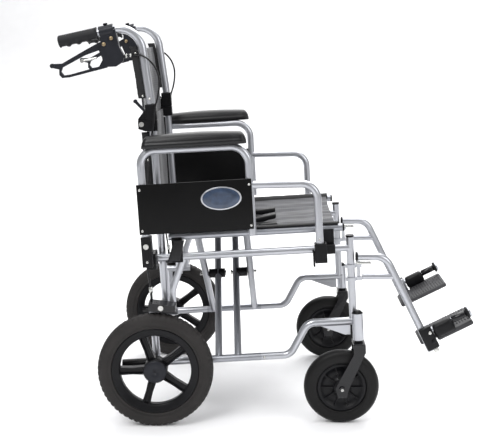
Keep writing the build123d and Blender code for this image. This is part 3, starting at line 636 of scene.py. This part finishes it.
def belt():
    for side, sign in SIDES:
        body = "seat_right" if side == "right" else "seat_left"

        def strap(u, v):
            y = (SEAT_Y - 8) * (1 - u) + 38 * u
            droop = 18 * (1 - (y / SEAT_Y) ** 6) + 5 * (1 - (y / SEAT_Y) ** 2)
            s = 176 + 128 * u ** 0.8 + 25 * v + (14 * u if sign > 0 else 0)
            return at(s, sign * y, SEAT_W + 19.5 - droop + 2.2 * math.sin(5 * u))

        web = grid_sheet(side + "_belt_web", 40, 4, strap, 1.4, WEBBING)
        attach(web, body)
        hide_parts(side + "_belt_half")

        def put(x, y, z):
            lean = 0.12 * x * (1 if sign < 0 else 0.3)
            return at(318 + x, sign * 50 + y + 0.2 * x, SEAT_W + 4.0 + z + lean)

        buckle = soft_box(side + "_belt_buckle", put, (64, 34 if sign < 0 else 27, 14), BLACK, 5.0,
                          4)
        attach(buckle, body)
    tail = bar("belt_tail_slider", at(300, -156, SEAT_W + 2.5), at(352, -150, SEAT_W + 2.5),
               0.0065, BLACK, 20, 0.003)
    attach(tail, "seat_right")


def back_panel(name, body, low, high, lean, replaced, seed, tuck=0.0, behind=0.0):
    """One pleated back sheet between the canes."""
    def put(u, v):
        y = -POST_Y + 10 + (2 * POST_Y - 20) * u
        w = low + (high - low) * v
        edge = abs(2 * u - 1)
        belly = 15 * (1 - edge ** 2.2) * (0.55 + 0.45 * math.sin(math.pi * min(1.0, v + tuck)))
        pleats = 2.2 * math.sin(26 * u + 0.8 * math.sin(5 * v)) * (1 - edge ** 6) + 1.2 * ripple(3 * u, 2 * v, seed)
        s = POST_S - 14.5 - behind - belly + pleats - lean * max(0.0, w - CANE_LOW[1])
        return at(s, y, w)

    sheet = grid_sheet(name, 110, 36, put, 4.0, FABRIC)
    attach(sheet, body)
    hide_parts(replaced)
    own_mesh(sheet)
    return sheet


def back_edges():
    """Black bound edges that run behind each cane, with their screws."""
    lean = (CANE_LOW[0] - CANE_CORNER[0]) / (CANE_CORNER[1] - CANE_LOW[1])
    for side, sign in SIDES:
        for part, body, low, high in (("low", "_frame", 560, 774), ("high", "_cane", 862, 996)):
            def put(u, v):
                w = low + (high - low) * v
                shift = lean * max(0.0, w - CANE_LOW[1])
                curve = 0.0012 * max(0.0, w - 940) ** 2
                s = POST_S - 10 - shift - curve - 20 * u
                return at(s + 0.8 * ripple(u, 4 * v, 2),
                          sign * (POST_Y - 2 + 1.0 * math.sin(3 * u)), w)

            strip = grid_sheet(f"{side}_back_edge_{part}", 8, 40, put, 3.2, EDGE_FABRIC)
            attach(strip, side + body)
        for k, (body, w) in enumerate((("_cane", 978), ("_cane", 868), ("_frame", 700),
                                       ("_frame", 600))):
            shift = lean * max(0.0, w - CANE_LOW[1]) + 0.0012 * max(0.0, w - 940) ** 2
            y = sign * (POST_Y - 0.2)
            spot = at(POST_S - 18 - shift, y, w)
            snap = bar(f"{side}_back_screw_{k}", spot, spot + Vector((0, sign * 0.0022, 0)), 0.003,
                       ZINC, 18, 0.0006)
            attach(snap, side + body)


def cross_straps():
    """The webbing loops that tie the seat to the side rails."""
    for side, sign in SIDES:
        def put(u, v):
            share = v
            s = 91 - 27 * share + (28 + 8 * share) * (u - 0.5)
            if share < 0.5:
                y, w = SIDE_Y + 13.8 - 16 * (0.5 - share), SEAT_W - 6 - (SEAT_W - RAIL_W - 6) * share * 2
            else:
                turn = (share - 0.5) * 2 * math.pi * 0.9
                y, w = SIDE_Y + 13.8 * math.cos(turn), RAIL_W - 13.8 * math.sin(turn)
            return at(s, sign * y, w)

        strap = grid_sheet(side + "_rail_strap", 6, 40, put, 1.6, WEBBING)
        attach(strap, side + "_frame")


# ---- footplates
def footplates():
    ct, st = math.cos(PLATE_SLOPE), math.sin(PLATE_SLOPE)
    for side, sign in SIDES:
        def put(t, y, n):
            return level(PLATE_PIVOT[0] + t * ct - n * st, -sign * y + sign * (SIDE_Y + 8),
                         PLATE_PIVOT[1] + t * st + n * ct)

        def base(x, y, z):
            return put(49 + x, 67 + y, z - 29.5)

        def apron(x, y, z):
            return put(72 + x, 10 + y, z - 29.5)

        parts = [soft_box(side + "_footplate_body", base, (150, 94, 13), PLATE, 5.5, 4)]
        parts.append(soft_box(side + "_footplate_apron", apron, (104, 32, 13), PLATE, 5.5, 4))
        for k in range(18):
            t = -18 + k * 7.9
            parts.append(bar(side + "_tread_rib", put(t, 24 if t < 22 else 16, -23.4),
                             put(t, 108, -23.4), 0.0022,
                             PLATE, 8, 0.001))

        def hub(x, y, z):
            return put(47 + x, y, -8 + z)

        parts.append(soft_box(side + "_plate_hub", hub, (58, 27, 38), BLACK, 11.0, 5))
        plate = join(side + "_footplate_moulding", parts)
        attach(plate, side + "_footplate")
        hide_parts(side + "_footplate")
        rod = bar(side + "_pivot_rod", put(75, 0, 0), put(118, 0, 0), 0.0092, POWDER, 28, 0.0008)
        cap_rings = []
        start, finish = put(116, 0, 0), put(130, 0, 0)
        axis = (finish - start).normalized()
        rot = axis.to_track_quat("Z", "Y").to_matrix()
        for along, radius in ((0, 9.0), (1, 14.6), (2.4, 16.4), (5, 16.2), (9, 13.6), (12, 9.0),
                              (13.4, 4.0), (13.7, 0.3)):
            cap_rings.append([start + rot @ (Vector((radius * math.cos(a), radius * math.sin(a),
                                                     along)) / 1000)
                              for a in [2 * math.pi * k / 32 for k in range(32)]])
        cap = loft(side + "_pivot_cap", cap_rings, BLACK)
        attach(rod, side + "_hanger")
        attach(cap, side + "_hanger")

        def clamp(x, y, z):
            return put(x - 0.5, y - 2, z - 17)

        block = soft_box(side + "_hanger_clamp", clamp, (34, 21, 64), BLACK, 4.0, 3)
        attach(block, side + "_hanger")
        for n, mat, radius in ((-2, ZINC, 4.5), (-28, BLACK, 4.5)):
            bolt = bar(f"{side}_clamp_bolt_{abs(n)}", put(8, -12, n), put(8, -16.5, n),
                       radius / 1000, mat, 20, 0.001)
            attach(bolt, side + "_hanger")
        nut = bar(side + "_clamp_nut", put(4, -2, -48), put(4, -2, -60), 0.0075, ZINC, 6, 0.001)
        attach(nut, side + "_hanger")


# ---- brake cables, one smooth line per side
UPPER_ROUTE = [(4, 0, 974), (12, 2, 974.5), (22, 15, 974.5), (36, 18, 970), (51, 19, 957),
               (64, 19, 938),
               (71, 19, 909), (65, 19, 868), (52, 19, 836)]
LOWER_ROUTE = [(49, 19, 806), (40, 19, 768), (27, 16, 700), (21, 14, 630), (14, 18, 565),
               (5, 29, 508),
               (2.5, 36, 450), (5, 37.4, 400), (8.9, 37.4, 361)]


def cables():
    for side, sign in SIDES:
        route = [at(s, sign * (POST_Y + y), w) for s, y, w in UPPER_ROUTE + LOWER_ROUTE]
        curve = bpy.data.curves.new(side + "_brake_cable", "CURVE")
        curve.dimensions = "3D"
        curve.bevel_depth = 0.0025
        curve.bevel_resolution = 4
        curve.resolution_u = 10
        curve.use_fill_caps = True
        spline = curve.splines.new("NURBS")
        spline.points.add(len(route) - 1)
        for point, place in zip(spline.points, route):
            point.co = (*place, 1.0)
        spline.order_u = 3
        spline.use_endpoint_u = True
        line = bpy.data.objects.new(side + "_cable_line", curve)
        bpy.context.scene.collection.objects.link(line)
        bpy.context.view_layer.update()
        mesh = bpy.data.meshes.new_from_object(line)
        bpy.data.objects.remove(line)
        mesh.materials.clear()
        mesh.materials.append(CABLE)
        piece = bpy.data.objects.new(side + "_brake_cable", mesh)
        bpy.context.scene.collection.objects.link(piece)
        for polygon in mesh.polygons:
            polygon.use_smooth = True
        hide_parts(side + "_cable_upper", side + "_cable_lower")
        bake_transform(piece)
        wire = bar(side + "_adjuster_barrel", at(8.9, sign * (SIDE_Y + 17), 368),
                   at(8.9, sign * (SIDE_Y + 17), 352),
                   0.0055, ZINC, 6, 0.0008)
        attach(wire, side + "_frame")


# ---- small hardware that the CAD leaves plain
def trim():
    for side, sign in SIDES:
        def latch_at(x, y, z):
            return level(547 + x, sign * SIDE_Y + y, 431 + z)

        latch = soft_box(side + "_latch_lever", latch_at, (40, 13, 7), ZINC, 2.4, 3)
        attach(latch, side + "_latch")
        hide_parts(side + "_hanger_latch")
        plug = bar(side + "_hanger_plug", level(526, sign * SIDE_Y, 448),
                   level(532, sign * SIDE_Y, 448), 0.0122, BLACK,
                   24, 0.0015)
        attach(plug, side + "_hanger")
        spots = [("rear", POST_S, sign * (POST_Y + 9.2), 762, side + "_frame"),
                 ("cane", POST_S - 1, sign * (POST_Y + 10.2), 860, side + "_cane"),
                 ("rail", 297, sign * (SIDE_Y + 9.2), LOW_W, side + "_frame"),
                 ("socket", 457, sign * (ARM_Y + 9.4), 482, side + "_arm"),
                 ("sleeve", 12.1, sign * (ARM_Y + 13.2), 448, side + "_frame")]
        for label, s, y, w, body in spots:
            rivet = bar(f"{side}_rivet_{label}", at(s, y, w), at(s, y + sign * 2.2, w), 0.0034,
                        ZINC, 20, 0.0009)
            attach(rivet, body)
        ends = []
        for k in range(2):
            s, w = frame_point(CASTER_X, CASTER_R)
            face = sign * STEM_Y + (AXLE_FACE if k else -AXLE_FACE)
            out = AXLE_END if k else -AXLE_END
            ends.append(bar(f"{side}_axle_end_{k}", at(s, face, w), at(s, face + out, w),
                            0.0045, ZINC, 6, 0.0008))
        for piece in ends:
            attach(piece, side + "_fork")


# ---- camera, floor and light
def camera():
    data = bpy.data.cameras.new("camera")
    view = bpy.data.objects.new("camera", data)
    bpy.context.scene.collection.objects.link(view)
    yaw, pitch = CAMERA_YAW, CAMERA_PITCH
    direction = Vector((math.sin(yaw) * math.cos(pitch), math.cos(yaw) * math.cos(pitch),
                        -math.sin(pitch)))
    view.location = level(*CAMERA_PLACE)
    view.rotation_euler = direction.to_track_quat("-Z", "Y").to_euler()
    data.sensor_width = 36.0
    data.lens = CAMERA_LENS
    data.shift_y = CAMERA_SHIFT
    data.clip_end = 60
    bpy.context.scene.camera = view


def studio():
    white = material("studio_white", (0.93, 0.93, 0.94), 0.85, grain=60, bump=0.0, vary=0.01,
                     specular=0.2)
    rows = []
    for y, z in ((-16, 0), (4, 0), (5.2, 0.15), (6, 0.9), (6.3, 2.2), (6.4, 7)):
        rows.append([Vector((x, y, z)) for x in (-16, -3, 3, 16)])
    verts = [p for row in rows for p in row]
    faces = [(4 * i + k, 4 * i + k + 1, 4 * i + k + 5,
              4 * i + k + 4) for i in range(len(rows) - 1) for k in range(3)]
    floor = mesh_piece("studio_floor", verts, faces, white)
    world = bpy.data.worlds.new("studio")
    world.use_nodes = True
    world.node_tree.nodes["Background"].inputs["Color"].default_value = (1, 1, 1, 1)
    world.node_tree.nodes["Background"].inputs["Strength"].default_value = 0.42
    bpy.context.scene.world = world
    for name, place, size, power in LAMPS:
        lamp = bpy.data.lights.new(name, "AREA")
        lamp.size = size
        lamp.energy = power
        light = bpy.data.objects.new(name, lamp)
        light.location = place
        aim = Vector((0.3, 6.4, 2.6)) if name == "wall" else Vector((0, 0, 0.45))
        light.rotation_euler = (aim - Vector(place)).to_track_quat("-Z", "Y").to_euler()
        bpy.context.scene.collection.objects.link(light)
    bpy.context.scene.view_settings.view_transform = "Standard"


camera()
studio()
rear_wheels()
casters()
arm_pads()
side_panels()
grips()
hand_brake_trim()
seat()
belt()
back_panel("back_sheet_low", "right_frame", 522, 798, 0.0, "back_lower", 0.3)
back_panel("back_sheet_high", "right_cane", 782, 985, 0.078, "back_upper", 1.7, 0.12, 6.0)
back_edges()
cross_straps()
footplates()
cables()
trim()
